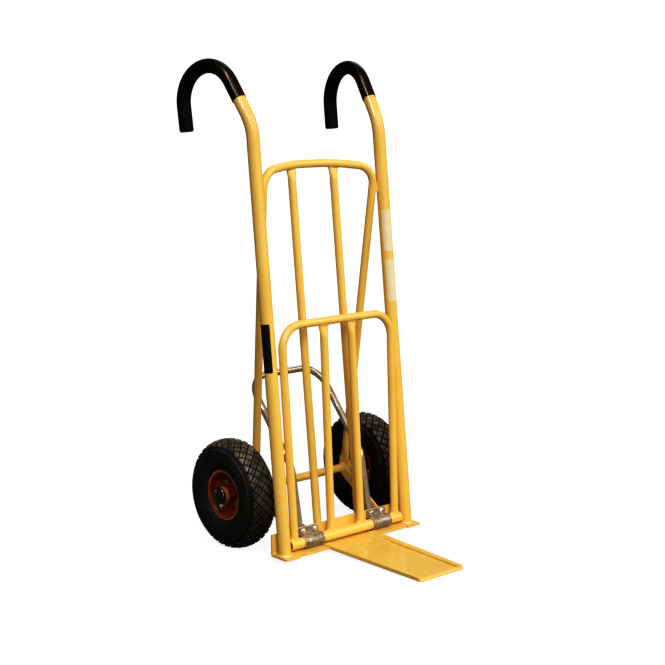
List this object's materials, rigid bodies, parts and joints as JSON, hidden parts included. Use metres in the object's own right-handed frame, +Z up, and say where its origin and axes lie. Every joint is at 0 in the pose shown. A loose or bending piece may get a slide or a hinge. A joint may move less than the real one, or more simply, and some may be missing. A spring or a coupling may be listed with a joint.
{
  "type": "sack truck",
  "caption": "Steel sack truck with crook handles, air tyred wheels, a narrow sloping toe plate, a fold-down load grid and a bent tilt hoop behind.",
  "frame": {"origin": "on the floor, midway across the width and midway between the toe plate's front edge and the back of the crook handles", "axes": "+X to the right seen from the load side, +Y to the rear (wheel side), +Z up; the load side faces -Y"},
  "size_m": [0.513, 0.6388, 1.1351],
  "materials": {
    "frame_paint": "semi-gloss golden yellow paint",
    "grip_rubber": "smooth satin black",
    "tyre_rubber": "matte black block tread",
    "tube_rubber": "matte black",
    "rim_paint": "semi-gloss dark red paint",
    "zinc_steel": "zinc plated",
    "galvanised_steel": "dull galvanised tube",
    "cap_plastic": "black moulded cap"
  },
  "bodies": {
    "frame": {"left_stile": "frame_paint", "right_stile": "frame_paint", "left_grip": "grip_rubber", "right_grip": "grip_rubber", "back_hoop": "frame_paint", "left_back_bar": "frame_paint", "right_back_bar": "frame_paint", "left_hoop_lug": "frame_paint", "right_hoop_lug": "frame_paint", "base_angle": "frame_paint", "toe_plate": "frame_paint", "left_toe_strip": "frame_paint", "right_toe_strip": "frame_paint", "toe_doubler": "frame_paint", "axle": "frame_paint", "left_lower_brace": "frame_paint", "right_lower_brace": "frame_paint", "axle_spacers": "zinc_steel", "axle_washers": "zinc_steel", "left_axle_cap": "cap_plastic", "right_axle_cap": "cap_plastic", "tilt_hoop": "galvanised_steel", "left_tilt_saddle": "zinc_steel", "right_tilt_saddle": "zinc_steel", "left_hinge_strap": "zinc_steel", "right_hinge_strap": "zinc_steel", "hinge_bolts": "zinc_steel", "hinge_nuts": "zinc_steel"},
    "folding_grid": {"pivot_tube": "frame_paint", "grid_hoop": "frame_paint", "left_grid_bar": "frame_paint", "right_grid_bar": "frame_paint"},
    "left_wheel": {"left_tyre": "tyre_rubber", "left_inner_tube": "tube_rubber", "left_outer_rim": "rim_paint", "left_inner_rim": "rim_paint", "left_hub": "rim_paint", "left_bearings": "zinc_steel", "left_rim_bolts": "zinc_steel", "left_rim_nuts": "zinc_steel", "left_valve": "tube_rubber"},
    "right_wheel": {"right_tyre": "tyre_rubber", "right_inner_tube": "tube_rubber", "right_outer_rim": "rim_paint", "right_inner_rim": "rim_paint", "right_hub": "rim_paint", "right_bearings": "zinc_steel", "right_rim_bolts": "zinc_steel", "right_rim_nuts": "zinc_steel", "right_valve": "tube_rubber"}
  },
  "joints": [
    {"name": "left_wheel_spin", "type": "hinge", "parent": "frame", "child": "left_wheel", "pos_m": [-0.2087, 0.16519, 0.13], "axis": [1, 0, 0], "continuous": true},
    {"name": "right_wheel_spin", "type": "hinge", "parent": "frame", "child": "right_wheel", "pos_m": [0.2087, 0.16519, 0.13], "axis": [1, 0, 0], "continuous": true},
    {"name": "grid_fold", "type": "hinge", "parent": "frame", "child": "folding_grid", "pos_m": [0, 0.00032, 0.0313], "axis": [1, 0, 0], "range_deg": [0, 95]}
  ]
}
